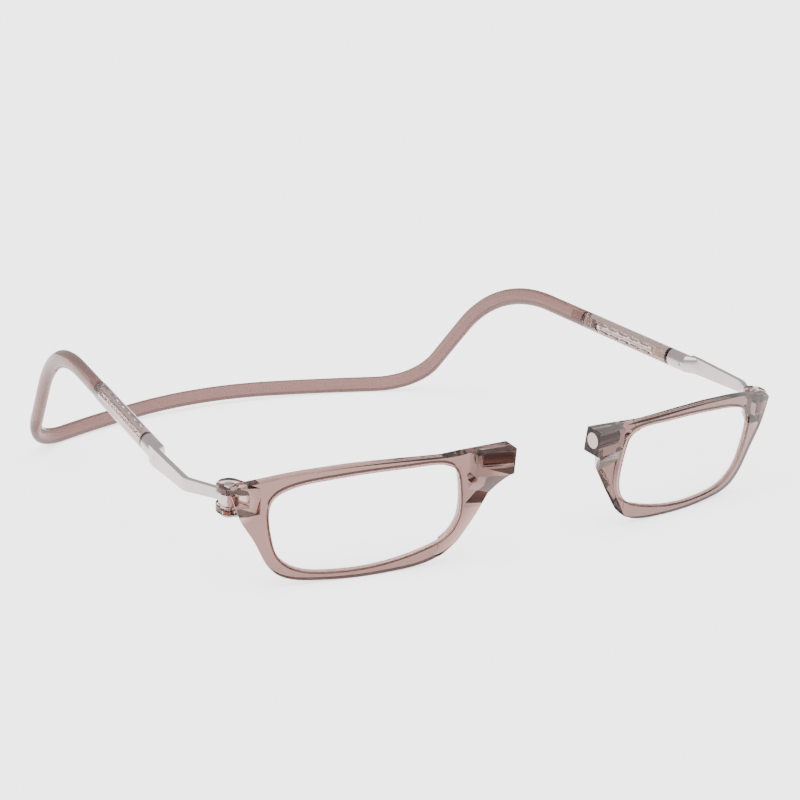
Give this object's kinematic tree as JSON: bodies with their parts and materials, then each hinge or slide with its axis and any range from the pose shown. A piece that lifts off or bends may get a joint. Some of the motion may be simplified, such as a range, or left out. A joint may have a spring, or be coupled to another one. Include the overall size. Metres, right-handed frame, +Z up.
{
  "type": "magnetic bridge reading glasses",
  "caption": "Reading glasses that part at a magnetic bridge, with hinged front halves, metal arms that slide in adjuster sleeves and a flexible band behind the neck.",
  "frame": {"origin": "centre of the footprint, on the table that the rims and the band stand on", "axes": "+X to the wearer's left, +Y towards the back of the neck band, +Z up, square to the table"},
  "size_m": [0.1674, 0.2166, 0.0417],
  "materials": {
    "frame_plastic": "translucent pink-grey plastic, polished",
    "band_plastic": "soft translucent pink-grey plastic, smooth",
    "clear_lens": "clear, polished",
    "magnet_nickel": "nickel plated, satin",
    "screw_steel": "bright steel",
    "insert_brass": "plain copper alloy",
    "brushed_metal": "brushed light silver",
    "rod_steel": "plain steel"
  },
  "bodies": {
    "right_sleeve": {"neck_band": "band_plastic", "right_adjuster_sleeve": "frame_plastic", "right_band_plug": "frame_plastic"},
    "left_sleeve": {"left_adjuster_sleeve": "frame_plastic", "left_band_plug": "frame_plastic"},
    "left_arm": {"left_temple_arm": "brushed_metal", "left_slide_rod": "rod_steel", "left_rod_pin": "rod_steel", "left_detent_stud": "rod_steel"},
    "right_arm": {"right_temple_arm": "brushed_metal", "right_slide_rod": "rod_steel", "right_rod_pin": "rod_steel", "right_detent_stud": "rod_steel"},
    "left_front": {"left_rim": "frame_plastic", "left_lens": "clear_lens", "left_bridge_magnet": "magnet_nickel", "left_hinge_screw": "screw_steel", "left_hinge_insert": "insert_brass"},
    "right_front": {"right_rim": "frame_plastic", "right_lens": "clear_lens", "right_bridge_magnet": "magnet_nickel", "right_hinge_screw": "screw_steel", "right_hinge_insert": "insert_brass"}
  },
  "joints": [
    {"name": "band_flex", "type": "hinge", "parent": "right_sleeve", "child": "left_sleeve", "pos_m": [0, 0.10645, 0.00394], "axis": [0, -0.1596, 0.9872], "range_deg": [-6.57, 15], "stiffness_Nm_per_rad": 0.6, "deforming": ["neck_band"]},
    {"name": "left_length_slide", "type": "slide", "parent": "left_sleeve", "child": "left_arm", "axis": [0.0698, -0.9848, -0.1593], "range_m": [0, 0.024]},
    {"name": "right_length_slide", "type": "slide", "parent": "right_sleeve", "child": "right_arm", "axis": [-0.0698, -0.9848, -0.1593], "range_m": [0, 0.024]},
    {"name": "left_hinge", "type": "hinge", "parent": "left_arm", "child": "left_front", "pos_m": [0.07732, -0.08622, 0.02355], "axis": [-0.0189, 0.243, -0.9698], "range_deg": [-8, 95]},
    {"name": "right_hinge", "type": "hinge", "parent": "right_arm", "child": "right_front", "pos_m": [-0.07732, -0.08622, 0.02355], "axis": [-0.0189, -0.243, 0.9698], "range_deg": [-8, 95]}
  ]
}
